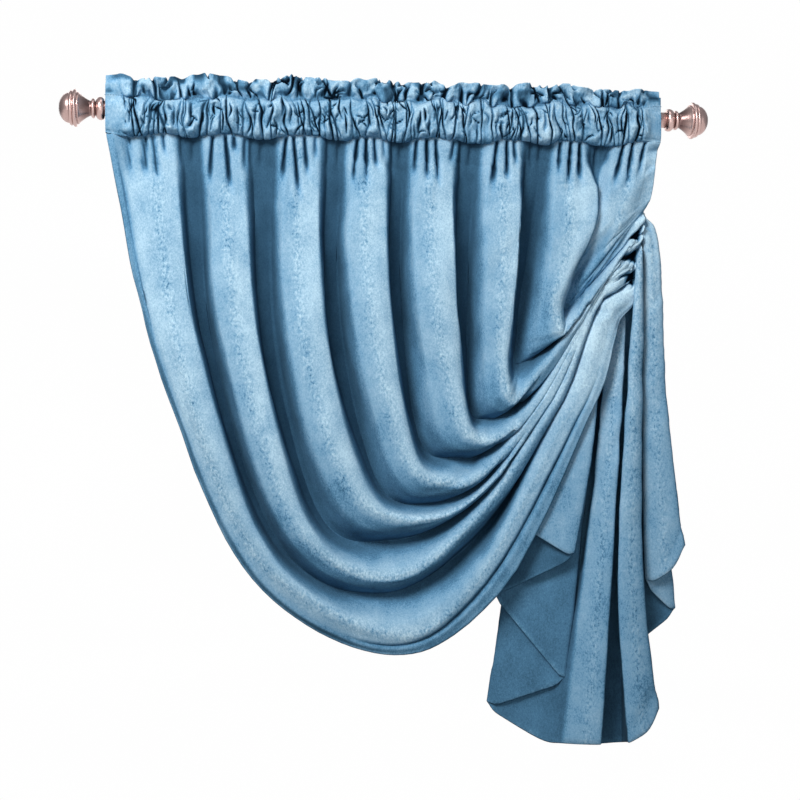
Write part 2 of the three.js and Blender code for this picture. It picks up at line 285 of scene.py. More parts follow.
def plush_finish():
    """Short plush pile with painted light and shade: soft blotches, fine tips, and coarser parted strands
    along the crests of folds.
    """
    plush = Finish("plush_blue")
    place = plush.node("ShaderNodeTexCoord", output="Object")
    fold, crest = plush.field("fold"), plush.field("crest")
    tips = plush.noise(plush.stretched(place, TIP_WAVES), 2, 0.6)
    strands = plush.noise(plush.stretched(place, STRAND_WAVES), 2, 0.6)
    blotches = plush.noise(plush.stretched(place, BLOTCH_WAVES), 3, 0.55)
    facing = plush.node("ShaderNodeNewGeometry", output="Normal")
    product = {"operation": "DOT_PRODUCT"}
    towards = plush.node("ShaderNodeVectorMath", product, {0: facing, 1: LIT_SIDE}, "Value")
    # Painted shade: pile turned away from the key light is darkened
    fold = fold * (0.6 + 0.4 * plush.between(towards, 0.15, 0.85))
    grain = (0.5 + 1.7 * crest) * (strands - 0.5) + 1.1 * (tips - 0.5)
    light = fold + fold * (1.1 * (blotches - 0.5) + grain)
    # Painted light and shade: the colour runs from painted shadow through the body to a painted highlight
    deep = plush.mix(plush.between(light, -0.2, 0), PAINTED_HOLLOW_SHADE, PAINTED_DEEP_SHADE)
    shaded = plush.mix(plush.between(light, 0, 0.5), deep, PILE_BODY)
    colour = plush.mix(plush.between(light, 0.4, 1.55), shaded, PAINTED_PILE_HIGHLIGHT)
    height = 0.5 * tips + (0.3 + 1.2 * crest) * strands
    bump = plush.node("ShaderNodeBump", None, {"Strength": 0.5, "Distance": 0.0012, "Height": height})
    return plush.finish(
        {
            "Base Color": colour,
            "Roughness": 0.95,
            "Specular IOR Level": 0.0,
            "Sheen Weight": 0.02,
            "Sheen Roughness": 0.5,
            "Sheen Tint": (0.6, 0.82, 1, 1),
            "Normal": bump,
        }
    )


BRONZE_LIGHT = (0.6, 0.42, 0.39, 1)
BRONZE_DARK = (0.07, 0.03, 0.03, 1)
# Rings to a metre left by the turning, along X, and the slower change of the plating
TURNING_WAVES = (1500, 25, 25)
PLATING_WAVES = (35, 60, 60)


def bronze_finish():
    """Satin rose bronze with fine turning marks, darker in its grooves."""
    bronze = Finish("rose_bronze")
    place = bronze.node("ShaderNodeTexCoord", output="Object")
    recess = bronze.field("recess")
    marks = bronze.noise(bronze.stretched(place, TURNING_WAVES), 2, 0.6)
    plating = bronze.noise(bronze.stretched(place, PLATING_WAVES), 3, 0.5)
    worn = bronze.between(recess + 0.25 * (plating - 0.5), 0.1, 0.9)
    bump = bronze.node("ShaderNodeBump", None, {"Strength": 0.12, "Distance": 0.0002, "Height": marks})
    return bronze.finish(
        {
            "Base Color": bronze.mix(worn, BRONZE_LIGHT, BRONZE_DARK),
            "Metallic": 1.0,
            "Roughness": 0.2 + 0.14 * marks + 0.1 * plating,
            "Normal": bump,
        }
    )


def thread_finish():
    """Twisted sewing thread, a shade deeper than the pile."""
    thread = Finish("thread_blue")
    place = thread.node("ShaderNodeTexCoord", output="Object")
    twist = thread.noise(thread.stretched(place, (2600, 900, 900)), 1, 0.5)
    colour = thread.mix(twist, (0.07, 0.15, 0.24, 1), (0.16, 0.31, 0.45, 1))
    return thread.finish({"Base Color": colour, "Roughness": 0.7, "Specular IOR Level": 0.3})


def paper_finish():
    """The studio's plain paper, bright enough to read as white."""
    paper = Finish("studio_paper")
    place = paper.node("ShaderNodeTexCoord", output="Object")
    mottle = paper.noise(paper.stretched(place, (1.5, 1.5, 1.5)), 1, 0.5)
    colour = paper.mix(mottle, (0.99, 0.99, 0.99, 1), (1, 1, 1, 1))
    glow = paper.node("ShaderNodeEmission", None, {"Color": colour, "Strength": 1.0})
    paper.node_output(glow)
    return paper.material


# Rod and finials

ROD_SIDES = 64
FINIAL_SIDES = 80
SPIGOT_RADIUS = ROD_RADIUS - ROD_WALL - 0.3
# A finial from the rod's end outwards: spigot, collar, bead, flared neck, ringed rim and dome
FINIAL_PROFILE = rows_of(
    "radius out",
    [
        (0, -24), (SPIGOT_RADIUS, -24), (SPIGOT_RADIUS, 0.3), (11.4, 0.3), (14.8, 1.6), (15.9, 4.6),
        (15.6, 7.6), (13.6, 10.6), (9.8, 12), (9.4, 12.6), (12.8, 13.2), (13.8, 15.4), (12.6, 17.6),
        (10.4, 18.4), (10.6, 20.4), (13, 24.6), (16.6, 29.6), (20, 33.6), (21.6, 34.6), (21.9, 35.8),
        (21.2, 36.6), (24.8, 37.2), (26, 39.4), (24.8, 41.6), (22, 42.2), (23.3, 42.9), (23.8, 44.8),
        (22.8, 46.8), (20.2, 47.3), (20.6, 48.4), (19.6, 52.4), (15.8, 57), (9, 60.8), (0, 62),
    ],
)


def rounded(profile):
    """An outline with each corner cut once, so that turned edges catch the light."""
    first, rest = profile[:-1], profile[1:]
    cut = np.stack([lerp(first, rest, 0.22), lerp(first, rest, 0.78)], axis=1).reshape(-1, 2)
    return np.concatenate([profile[:1], cut, profile[-1:]])


def turned_piece(name, profile, sides, finish, closed):
    """A body turned about X from an outline of radii and places along the axis."""
    angle = np.arange(sides) * TURN / sides
    radius, along = profile[:, :1], profile[:, 1:]
    ring = [np.broadcast_to(along, (len(profile), sides)), radius * np.cos(angle), radius * np.sin(angle)]
    vertices = np.stack(ring, axis=-1).reshape(-1, 3)
    index = np.arange(len(vertices)).reshape(-1, sides)
    index = np.concatenate([index, index[:, :1]], axis=1)
    if closed:
        index = np.concatenate([index, index[:1]], axis=0)
    near = np.array([radius[max(0, i - 5) : i + 6].max() for i in range(len(radius))])
    recess = np.clip((near - radius[:, 0]) / near * 1.8, 0, 1)
    piece = add_piece(name, vertices, cells(index), finish, recess=np.repeat(recess, sides))
    shape = bmesh.new()
    shape.from_mesh(piece.data)
    bmesh.ops.remove_doubles(shape, verts=shape.verts, dist=0.01 * MM)
    bmesh.ops.recalc_face_normals(shape, faces=shape.faces)
    shape.to_mesh(piece.data)
    shape.free()
    return piece


def make_rod(finish):
    half, bore = ROD_LENGTH / 2, ROD_RADIUS - ROD_WALL
    corners = [(bore, -half), (ROD_RADIUS - 0.3, -half), (ROD_RADIUS, 0.3 - half)]
    corners += [(ROD_RADIUS, half - 0.3), (ROD_RADIUS - 0.3, half), (bore, half)]
    return turned_piece("rod_tube", np.array(corners, float), ROD_SIDES, finish, True)


def make_finial(side, towards, finish):
    outline = rounded(np.array([(row["radius"], row["out"]) for row in FINIAL_PROFILE], float))
    outline[:, 1] = towards * (ROD_LENGTH / 2 + outline[:, 1])
    return turned_piece(f"finial_turning_{side}", outline, FINIAL_SIDES, finish, False)


# Heading: the pocket round the rod and the ruffle above it, gathered along the rod

# Levels of the strip's two faces, from the lower stitch line up: height and depth from the rod's axis
FRONT_LEVELS = rows_of(
    "z half",
    [(POCKET_FOOT, 2.2), (-33.9, 6.5), (-31, 11), (-24, 13.4), (-10, 13.8), (2, 13.8), (11, 10.5),
     (UPPER_STITCH, 6), (22, 5), (32, 4), (RUFFLE_RIM, 2.4)],
)
BACK_LEVELS = rows_of(
    "z half",
    [(POCKET_FOOT, 2.2), (-31, 5.6), (-25, 9.8), (-10, 13.4), (3, 13.6), (11, 9.8),
     (UPPER_STITCH, 2.6), (22, 2.6), (32, 2.8), (RUFFLE_RIM, 2.2)],
)
FRONT_ROWS = 64
BACK_ROWS = 22
HEADING_COLUMNS = 960
# The tunnel that the rod fills: height and half depth, from its top down
POCKET_TUNNEL = rows_of("z half", [(12.2, 0), (9.2, 8.6), (3, 11.8), (-9, 11.8), (-22, 7), (-27, 0)])
PLAIN_END = 26
PUFF = 8
RUFFLE_PUFF = 9
RUFFLE_LEAN = 8
CREASE_WANDER = 3
PETAL_WANDER = 6
PLEATS = 8
POCKET_SAG = 2.4
PUFF_OVERHANG = 2.2
# The waves of the ruffle's rim, how far it dips at a crease and how far the whole rim has settled
RIM_WAVE = 2.4
RIM_DIP = 6
RIM_SETTLED = 2
# How far a petal that flops over the upper stitch line comes forward and down
FLOP_OUT = 5
FLOP_DOWN = 11
# How crooked the upper stitch line runs between the gathers
STITCH_WANDER = 4
# How much painted shade darkens a crease where it is shut
HOLLOW_SHADE = 0.4
# The ruffle's rim along the rod: X and height
RUFFLE_TOPS = rows_of(
    "x z",
    [(-399, 46), (-374, 49), (-345, 45), (-314, 42), (-290, 45), (-257, 52), (-228, 48), (-199, 43),
     (-168, 47), (-137, 53), (-104, 49), (-72, 45), (-46, 48), (-22, 50), (14, 46), (50, 49), (84, 44),
     (116, 48), (150, 44), (196, 48), (222, 44), (243, 48), (280, 42), (316, 40), (344, 43), (384, 42)],
)


def foot_sag(x):
    """How far the pocket's foot is above or below its mean height: lowest between the pleats."""
    return POCKET_SAG * uneven_wave((x - HEADING_LEFT) / HEADING_WIDTH, PLEATS, 0.53, 0.2)


def gather_share(x):
    """0 at the strip's plain ends and 1 where it is gathered."""
    return smooth((np.minimum(x - HEADING_LEFT, HEADING_RIGHT - x) - 8) / PLAIN_END)


def crease_lines(seed):
    """Creases of the gathered strip: start X and Z, direction, length, breadth, depth and bow of each."""
    random = np.random.default_rng(seed)
    creases = []
    at = HEADING_LEFT + PLAIN_END
    while at < HEADING_RIGHT - PLAIN_END * 0.8:
        whole = random.random() < 0.55
        low = random.uniform(-44, -36) if whole else random.uniform(-36, 2)
        high = random.uniform(15, 24) if whole else low + random.uniform(16, 34)
        turn, breadth = random.normal(0, 0.16), random.uniform(2.8, 5.6)
        creases.append((at, low, turn, high - low, breadth, random.uniform(0.6, 1), random.normal(0, 2)))
        at += random.uniform(3.4, 8)
    for _ in range(110):
        start = random.uniform(HEADING_LEFT + PLAIN_END, HEADING_RIGHT - PLAIN_END)
        turn = random.choice([-1, 1]) * random.uniform(0.4, 1.2)
        length, breadth = random.uniform(8, 20), random.uniform(2.4, 4.6)
        creases.append((start, random.uniform(-36, 12), turn, length, breadth, 0.8, random.normal(0, 1.5)))
    return creases


def petal_lines(seed):
    """Deep creases between the ruffle's petals, and the hollows where a petal curls over."""
    random = np.random.default_rng(seed)
    creases = []
    at = HEADING_LEFT + PLAIN_END * 0.9
    while at < HEADING_RIGHT - PLAIN_END * 0.7:
        low, turn = random.uniform(12, 17), random.normal(0, 0.42)
        length = random.choice([14, 24, 45, 45])
        breadth = random.uniform(3.6, 7.5)
        creases.append((at, low, turn, length, breadth, random.uniform(0.85, 1), random.normal(0, 3)))
        at += random.uniform(8, 21)
    for _ in range(58):
        start = random.uniform(HEADING_LEFT + PLAIN_END, HEADING_RIGHT - PLAIN_END)
        turn = random.choice([-1, 1]) * random.uniform(0.6, 1.6)
        length, breadth = random.uniform(6, 17), random.uniform(3, 6)
        creases.append((start, random.uniform(19, 42), turn, length, breadth, 0.9, random.normal(0, 1.6)))
    return creases


def wandering(x, z, reach, seed):
    """Places moved a little this way and that, so that creases drawn straight come out crooked."""
    aside = reach * soft_noise(x / 16 + 60, z / 17 + 9, seed)
    return x + aside, z + 0.7 * reach * soft_noise(x / 12 + 60, z / 14 + 9, seed + 1)


def pillows(x, z, creases, reach, seed):
    """How full the cloth lies between its creases, 0 at the bottom of a crease to 1, over one face."""
    full = np.ones(z.shape)
    moved_x, moved_z = wandering(x, z, reach, seed)
    for start, low, turn, length, breadth, depth, bow in creases:
        spread = abs(math.sin(turn)) * length + abs(bow) + breadth + reach
        columns = slice(*np.searchsorted(x[0], (start - spread, start + spread)))
        across, up = moved_x[:, columns] - start, moved_z[:, columns] - low
        along = np.clip(across * math.sin(turn) + up * math.cos(turn), 0, length)
        past = across * math.sin(turn) + up * math.cos(turn) - along
        aside = across * math.cos(turn) - up * math.sin(turn) - bow * np.sin(math.pi * along / length)
        middle = np.sin(math.pi * along / length)
        near = np.clip(np.hypot(aside, past) / (breadth * (0.75 + 0.35 * middle)), 0, 1)
        pillow = np.sin(math.pi / 2 * near)
        full[:, columns] = np.minimum(full[:, columns], 1 - depth * (0.65 + 0.35 * middle) * (1 - pillow))
    return full


def bump_at(z, level, reach):
    return np.exp(-(((z - level) / reach) ** 2))


def heading_light(wide, z, seed, pillow, petal, swell, lean, full, in_pocket):
    """Painted light and shade of the strip: pale on its puffs, painted shade in its creases and shut
    hollows.
    """
    patches = 0.72 + 0.7 * soft_noise(wide / 9, z / 10, seed + 6)
    ruffle = smooth((petal - 0.28) / 0.68) * np.clip(patches - 0.4 * lean / RUFFLE_LEAN, 0.04, 0.9)
    pocket = smooth((pillow - 0.24) / 0.6) * np.clip(0.5 + 0.42 * swell, 0.28, 0.92)
    shut = 1 - smooth((lerp(petal, pillow, in_pocket) - 0.28) / 0.42)
    hollows = shut * smooth((soft_noise(wide / 7, z / 11, seed + 9) + 0.3) / 0.5) * full
    # Painted shade along the upper stitch line
    seam = 1 - 0.55 * full * bump_at(z, UPPER_STITCH, 2.2) * (1 - smooth(swell - 0.4))
    return lerp(ruffle, pocket, in_pocket) * seam * lerp(0.8, 1, full) - HOLLOW_SHADE * hollows


def ruffle_rim(wide, petal, lean, full):
    """The height of the ruffle's rim: as seen along the rod, waved, and lower at the petals' creases."""
    rim = np.interp(wide, [row["x"] for row in RUFFLE_TOPS], [row["z"] for row in RUFFLE_TOPS])
    waves = RIM_WAVE * soft_noise(wide / 12, 0 * wide, 43) - RIM_DIP * (1 - petal)
    return rim + full * waves + 0.25 * np.minimum(lean, 0) - RIM_SETTLED


def pocket_overhang(wide, z, pillow, full):
    """How far the front of the pocket hangs below its stitch line."""
    sagging = 0.3 - foot_sag(wide) / POCKET_SAG + 0.8 * soft_noise(wide / 19, 0 * wide, 51)
    flap = np.clip(sagging, 0, 1.3) * full
    cord = 2.6 * (pillow - 0.5) * full
    return (PUFF_OVERHANG * flap + cord) * bump_at(z, -32, 6)


def heading_face(x, levels, rows, side, seed):
    """One face of the strip, [level, column, xyz], and its painted light and shade: side is -1 in front."""
    knots = np.array([[(0, row["half"], row["z"]) for row in levels]], float)
    profile = along_curves(knots, np.linspace(0, 1, rows))
    half, z = profile[:, :, 1], np.repeat(profile[:, :, 2], len(x), axis=1)
    wide = np.broadcast_to(x[None, :], z.shape)
    full = gather_share(wide)
    fronting = (half > 4) & (side < 0)
    height = np.clip((z - UPPER_STITCH) / (RUFFLE_RIM - UPPER_STITCH), 0, 1)
    in_pocket = 1 - smooth((z - UPPER_STITCH + 1) / 6)
    pillow = lerp(np.ones_like(z), pillows(wide, z, crease_lines(seed), CREASE_WANDER, seed + 5), full)
    petal = lerp(np.ones_like(z), pillows(wide, z, petal_lines(seed + 3), PETAL_WANDER, seed + 8), full)
    swell = 0.7 + 0.55 * soft_noise(wide / 11, z / 16, seed + 1)
    pinched = np.clip(bump_at(z, UPPER_STITCH, 4) + bump_at(z, POCKET_FOOT, 4), 0, 1)
    flopping = np.clip(soft_noise(wide / 13, 0 * wide, seed + 7) + 0.1, 0, 1)
    flop = full * flopping * bump_at(height, 0.22, 0.16)
    crinkle = 1.4 * soft_noise(wide / 8, z / 7, seed + 1) + 0.7 * soft_noise(wide / 3, z / 3, seed + 2)
    lean = RUFFLE_LEAN * full * height * soft_noise(wide / 17, z / 40, 33)
    out = lerp(np.where(fronting, np.maximum(half, 11), half), half, full) + FLOP_OUT * flop
    out = out + PUFF * in_pocket * (1 - 0.6 * pinched) * pillow * swell * full
    out = out + RUFFLE_PUFF * full * smooth(height * 3) * petal * (0.5 + 0.5 * swell)
    wander = STITCH_WANDER * soft_noise(wide / 14, 0 * wide, 35) + 2 * swell - 1
    up = np.where(height > 0, lerp(UPPER_STITCH, ruffle_rim(wide, petal, lean, full), height), z)
    up = up + np.clip(z / POCKET_FOOT, 0, 1) * foot_sag(wide)
    up = up - pocket_overhang(wide, z, pillow, full) * fronting
    up = up + full * bump_at(z, UPPER_STITCH, 9) * wander - FLOP_DOWN * flop
    face = np.stack([wide, side * (out + full * crinkle) + lean, up], axis=-1)
    return face, heading_light(wide, z, seed, pillow, petal, swell, lean, full, in_pocket)


def make_heading(finish):
    x = np.linspace(HEADING_LEFT, HEADING_RIGHT, HEADING_COLUMNS)
    front, front_fold = heading_face(x, FRONT_LEVELS, FRONT_ROWS, -1, 7)
    back, back_fold = heading_face(x, BACK_LEVELS, BACK_ROWS, 1, 17)
    ring = np.concatenate([front, back[::-1]], axis=0)
    fold = np.concatenate([front_fold, back_fold[::-1]], axis=0)
    size, columns = ring.shape[:2]
    index = np.arange(size * columns).reshape(size, columns)
    wall = cells(np.concatenate([index, index[:1]], axis=0))[:, ::-1]
    tunnel = [(-row["half"], row["z"]) for row in POCKET_TUNNEL]
    tunnel += [(row["half"], row["z"]) for row in POCKET_TUNNEL[-2:0:-1]]
    ends = np.array([[(end, y, z) for end in (HEADING_LEFT, HEADING_RIGHT)] for y, z in tunnel], float)
    bore = size * columns + np.arange(2 * len(tunnel)).reshape(-1, 2)
    lining = cells(np.concatenate([bore, bore[:1]], axis=0))[:, ::-1]
    vertices = np.concatenate([ring.reshape(-1, 3), ends.reshape(-1, 3)])
    faces = [*wall.tolist(), *lining.tolist()]
    for column, end, outward in ((0, 0, -1), (-1, 1, 1)):
        loops = [index[:, column], bore[:, end]]
        numbers = np.concatenate(loops)
        outline = [[Vector(vertices[i]) for i in loop] for loop in loops]
        for corners in tessellate_polygon(outline):
            p, q, r = (vertices[numbers[i]] for i in corners)
            turns_right = np.cross(q - p, r - p)[0] * outward > 0
            faces.append([int(numbers[i]) for i in (corners if turns_right else corners[::-1])])
    around = lengths(ring, 0)
    flat = np.stack([ring[..., 0] * 1.5, around], axis=-1).reshape(-1, 2)
    flat = np.concatenate([flat, ends.reshape(-1, 3)[:, :2]])
    # Painted shade, darkest at the tunnel in the strip's ends
    fold = np.concatenate([fold.ravel(), np.zeros(2 * len(tunnel))])
    piece = add_piece("heading_cloth", vertices, faces, finish, flat, fold=fold, crest=0.5 * fold)
    return piece, front, back


# Swag: fold lines from the left hem to the right shoulder, as in the solids

SWAG_PLACES = ("hip", "knee", "belly", "rise", "arm")
# The last column is the line's place along the gathered seam, from its foot to its head
SWAG_LINES = rows_of(
    "kind proud top_x hip_x hip_z knee_x knee_z belly_x belly_z rise_x rise_z arm_x arm_z seam",
    [
        ("edge", 1, -391, -327, -331, -199, -637, -8, -750, 144, -674, 285, -408, 0),
        ("crease", 1, -380, -319, -331, -192, -631, -13, -738, 127, -661, 270, -410, 0.05),
        ("ridge", 1, -317, -280, -331, -176, -610, -3, -722, 113, -655, 254, -410, 0.16),
        ("valley", 1, -274, -246, -331, -155, -602, -13, -669, 131, -584, 236, -409, 0.29),
        ("ridge", 1, -224, -197, -331, -121, -578, -3, -645, 116, -563, 227, -408, 0.35),
        ("valley", 1, -174, -161, -331, -97, -564, 1, -596, 108, -549, 220, -407, 0.39),
        ("ridge", 1, -119, -113, -302, -45, -526, 53, -564, 138, -513, 216, -407, 0.43),
        ("valley", 1, -74, -71, -282, -21, -510, 53, -545, 138, -503, 212, -406, 0.47),
        ("ridge", 1, -24, -21, -260, 25, -478, 80, -515, 131, -498, 209, -405, 0.51),
        ("valley", 1, 16, 15, -246, 39, -452, 96, -481, 136, -469, 206, -405, 0.55),
        ("ridge", 1, 67, 68, -232, 97, -420, 128, -457, 167, -441, 203, -405, 0.59),
        ("valley", 1, 117, 112, -218, 111, -401, 136, -426, 170, -410, 214, -374, 0.65),
        ("ridge", 0.95, 168, 167, -204, 154, -347, 167, -401, 193, -377, 245, -316, 0.71),
        ("valley", 0.9, 216, 197, -181, 180, -302, 177, -347, 211, -329, 256, -292, 0.77),
        ("ridge", 0.85, 261, 261, -166, 231, -259, 238, -306, 262, -281, 300, -232, 0.83),
        ("valley", 0.7, 301, 292, -135, 264, -212, 247, -272, 274, -246, 309, -208, 0.88),
        ("ridge", 0.5, 346, 345, -87, 328, -138, 310, -178, 328, -166, 343, -152, 0.94),
        ("side", 1, 383, 376, -66, 373, -92, 369, -112, 364, -123, 360, -130, 1),
    ],
)
# How far each kind of line stands before (-) or behind (+) the rod's axis at those places
SWAG_DEPTH = {
    "ridge": {"top": -5, "hip": -34, "knee": -38, "belly": -36, "rise": -31, "arm": -26, "end": -17},
    "valley": {"top": 1.5, "hip": 14, "knee": 12, "belly": 6, "rise": 4, "arm": 2, "end": 4},
    "crease": {"top": 0, "hip": -26, "knee": -30, "belly": -32, "rise": -30, "arm": -26, "end": -14},
    "edge": {"top": 1.5, "hip": -15, "knee": -19, "belly": -26, "rise": -27, "arm": -24, "end": -12},
    "side": {"top": 0, "hip": -11, "knee": -13, "belly": -13, "rise": -12, "arm": -9, "end": -5},
}
# How far each line swings aside, in X, on its way up from the arm to the seam, and where it swings most
ARM_SWAY = [-11, -14, -22, -30, -31, -29, -27, -25, -22, -20, -18, -14, -9, -9, 0, 0, 0, 0]
SWAY_AT = 0.8
SEAM_FOOT = np.array([347, -260])
SEAM_HEAD = np.array([360, -135])
SWAG_ROWS = rows_of("until rows", [(0.06, 23), (0.3, 19), (0.6, 23), (0.94, 14), (1, 12)])
SWAG_STEPS = [8, 14] + [34] * 15
# How a pleat falls from its ridge to the valley at its left and right: where on the way its wall stands, how
# broad the wall is, and how round the pleat is instead of flat with a wall
PLEAT_SHAPES = rows_of(
    "station left left_half right right_half round",
    [
        (0, 0.72, 0.24, 0.5, 0.2, 0.1),
        (0.1, 0.84, 0.14, 0.48, 0.1, 0.2),
        (0.2, 0.82, 0.18, 0.48, 0.1, 0.25),
        (0.36, 0.76, 0.24, 0.54, 0.28, 0.6),
        (0.5, 0.74, 0.26, 0.6, 0.34, 0.8),
        (0.66, 0.76, 0.22, 0.7, 0.26, 0.6),
        (0.82, 0.84, 0.13, 0.84, 0.13, 0.2),
        (1, 0.8, 0.18, 0.8, 0.18, 0.2),
    ],
)
# The painted light and shade of the pile on a pleat: on its crest, and past it on the left side, after the
# crest's ease. The left side darkens in painted shade from dusk to left_to, and the right side from
# right_from to right_to, down to the deep of the valley. Less than 0 is the painted shadow of a shut hollow
PLEAT_LIGHT = rows_of(
    "station crest past ease dusk left_to right_from right_to deep",
    [
        (0, 0.8, 0.7, 0.5, 0.66, 0.86, 0.36, 0.62, 0.14),
        (0.1, 1, 0.74, 0.5, 0.68, 0.94, 0.34, 0.54, 0.11),
        (0.2, 1, 0.72, 0.5, 0.54, 0.98, 0.34, 0.58, 0.12),
        (0.28, 1, 0.62, 0.42, 0.58, 1, 0.28, 0.7, 0.15),
        (0.36, 1, 0.46, 0.34, 0.66, 1, 0.2, 0.8, 0.2),
        (0.5, 1, 0.42, 0.22, 0.74, 1, 0.04, 1, 0.26),
        (0.66, 0.78, 0.48, 0.22, 0.78, 1, 0.12, 1, 0.07),
        (0.82, 0.78, 0.68, 0.22, 0.8, 1, 0.66, 0.96, -0.2),
        (0.9, 1.18, 1.1, 0.22, 0.8, 1, 0.7, 0.98, -0.2),
        (1, 1.36, 1.3, 0.22, 0.75, 1, 0.66, 0.98, -0.1),
    ],
)
# The same for the left hem: its edge, the crease beside it and the first crest
HEM_LIGHT = rows_of(
    "station edge crease crest",
    [
        (0, 0.6, 0.75, 0.8), (0.05, 0.42, 1, 0.95), (0.2, 0.46, 1.02, 0.95), (0.3, 0.55, 0.8, 0.84),
        (0.42, 0.5, 0.54, 0.85), (0.5, 0.55, 0.62, 1), (0.6, 0.5, 0.72, 0.85), (0.75, 0.52, 0.76, 0.8),
        (0.82, 0.66, 0.8, 0.82), (0.88, 1, 1.04, 1.08), (1, 1.22, 1.22, 1.28),
    ],
)
# The crisp tuck between the hem's strip and the first pleat, sunk in and given painted shade: light at the
# side and full at the belly
TUCK = rows_of(
    "station share",
    [(0, 0), (0.05, 0.7), (0.14, 0.45), (0.3, 0.1), (0.44, 0.1), (0.54, 1), (0.8, 1), (0.87, 0)],
)
TUCK_DEPTH = 6
TUCK_REACH = 3.2
# Valleys in the arms, by the number of their line: how far each is filled, and how much wider its floor is
ARM_VALLEYS = rows_of(
    "line station fill floor",
    [
        (3, 0.5, 0, 0), (3, 0.7, 0, 0.12), (3, 0.82, 0, -0.16), (3, 0.94, 0, -0.1), (3, 1, 0.5, 0),
        (5, 0.6, 0, 0.05), (5, 0.8, 0.1, 0.05), (5, 0.85, 0.5, 0), (5, 0.89, 1, 0), (5, 1, 1, 0),
        (7, 0.6, 0, 0), (7, 0.7, 0.3, 0), (7, 0.76, 1, 0), (7, 1, 1, 0),
        (9, 0.66, 0, 0), (9, 0.8, 0.2, 0), (9, 0.86, 0.8, 0), (9, 0.9, 1, 0), (9, 1, 1, 0),
        (11, 0.7, 0, 0), (11, 0.82, 0.2, 0), (11, 0.9, 0.9, 0), (11, 1, 0.5, 0),
        (13, 0.7, 0, 0.1), (13, 0.88, 0.3, 0), (13, 1, 0.4, 0),
        (15, 0.04, 0, 0), (15, 0.1, 0.3, -0.4), (15, 0.18, 0.75, -0.45), (15, 0.27, 0.75, -0.45),
        (15, 0.36, 0.1, -0.4), (15, 0.5, 0, -0.4), (15, 0.8, 0.4, -0.2), (15, 1, 0.4, 0),
    ],
)
# The slits between the fingers of cloth below the pocket: X at the pocket, X and Z at the foot, and depth
SLITS = rows_of(
    "top foot low depth",
    [
        (-362, -360, -95, 6), (-340, -339, -90, 11), (-328, -323, -96, 10), (-315, -312, -64, 6),
        (-291, -291, -78, 3), (-275, -275, -74, 3), (-247, -252, -100, 10), (-230, -223, -108, 11),
        (-218, -217, -56, 8), (-203, -204, -86, 5), (-195, -196, -80, 3), (-181, -181, -78, 3),
        (-146, -152, -94, 11), (-136, -129, -116, 11), (-121, -117, -88, 9), (-106, -106, -66, 5),
        (-89, -89, -76, 3), (-74, -74, -76, 3), (-47, -54, -98, 11), (-35, -35, -96, 11),
        (-24, -21, -78, 8), (-11, -10, -68, 4), (1, 1, -74, 3), (13, 13, -68, 3),
        (36, 32, -86, 9), (50, 50, -90, 12), (63, 65, -96, 10), (89, 83, -70, 6),
        (99, 96, -82, 4), (113, 111, -74, 3), (150, 142, -98, 11), (164, 163, -90, 11),
        (174, 176, -70, 7), (199, 199, -72, 3), (212, 212, -66, 3), (241, 236, -84, 8), (256, 250, -94, 11),
        (269, 266, -90, 11), (294, 291, -82, 4), (314, 306, -70, 4), (333, 316, -98, 9),
        (346, 334, -96, 10), (363, 352, -78, 8),
    ],
)
SLIT_REACH = {"top": 4, "foot": 7.5}
# Pockets where the gathers part beside the seam, sunk back and given painted shade: left tip, then the upper
# and lower right corner
POCKETS = rows_of(
    "tip_x tip_z upper_x upper_z lower_x lower_z",
    [
        (312, -199, 345, -187, 346, -209),
        (321, -222, 345, -213, 347, -239),
        (334, -172, 350, -159, 350, -174),
    ],
)
POCKET_DEPTH = 15
# The arm in which the belly's folds run together, between two fold lines, and from where it is one band
MERGED_ARM = (4, 12)
MERGED_FROM = 0.835
MERGED_REACH = 71
MERGED_EASE = 30
# How far left of the crests the pile parts on the hanging pleats
PARTING_ASIDE = 14
# How far the cloth's lumps, the knuckles beside the seam and the left hem stand out or in
UNEVEN = 2.4
KNUCKLES = 3
HEM_RAGGED = 1.8
HEM_COLUMNS = 8
# The cloth with its pile, away from the seams, and how far the plain ends come forward under the pocket
PLUSH = 3.2
PLAIN_FORWARD = 10


def swag_folds(stations):
    """The fold lines of the swag at the stations, [station, line, xyz]."""
    knots = []
    for line in SWAG_LINES:
        depth = SWAG_DEPTH[line["kind"]]
        seam_x, seam_z = lerp(SEAM_FOOT, SEAM_HEAD, line["seam"])
        line_knots = [(line["top_x"], depth["top"], SWAG_TOP)]
        for place in SWAG_PLACES:
            line_knots.append((line[place + "_x"], line["proud"] * depth[place], line[place + "_z"]))
        knots.append(line_knots + [(seam_x, depth["end"], seam_z)])
    folds = along_curves(np.array(knots, float), stations)
    spans = len(SWAG_PLACES) + 1
    way = np.clip(stations * spans - spans + 1, 0, 1)
    sway = np.minimum(smooth(way / SWAY_AT), smooth((1 - way) / (1 - SWAY_AT)))
    folds[..., 0] += np.outer(sway, ARM_SWAY)
    for number in range(3, len(SWAG_LINES) - 1, 2):
        beside = (folds[:, number - 1, 1] + folds[:, number + 1, 1]) / 2
        folds[:, number, 1] = lerp(folds[:, number, 1], beside, arm_valley("fill", number, stations)[:, 0])
    return folds


def read_at(table, name, stations):
    """A column of a table, read at the stations: [station, 1]."""
    return np.interp(stations, [row["station"] for row in table], [row[name] for row in table])[:, None]


def arm_valley(name, number, stations):
    rows = [row for row in ARM_VALLEYS if row["line"] == number]
    return read_at(rows, name, stations) if rows else np.zeros((len(stations), 1))


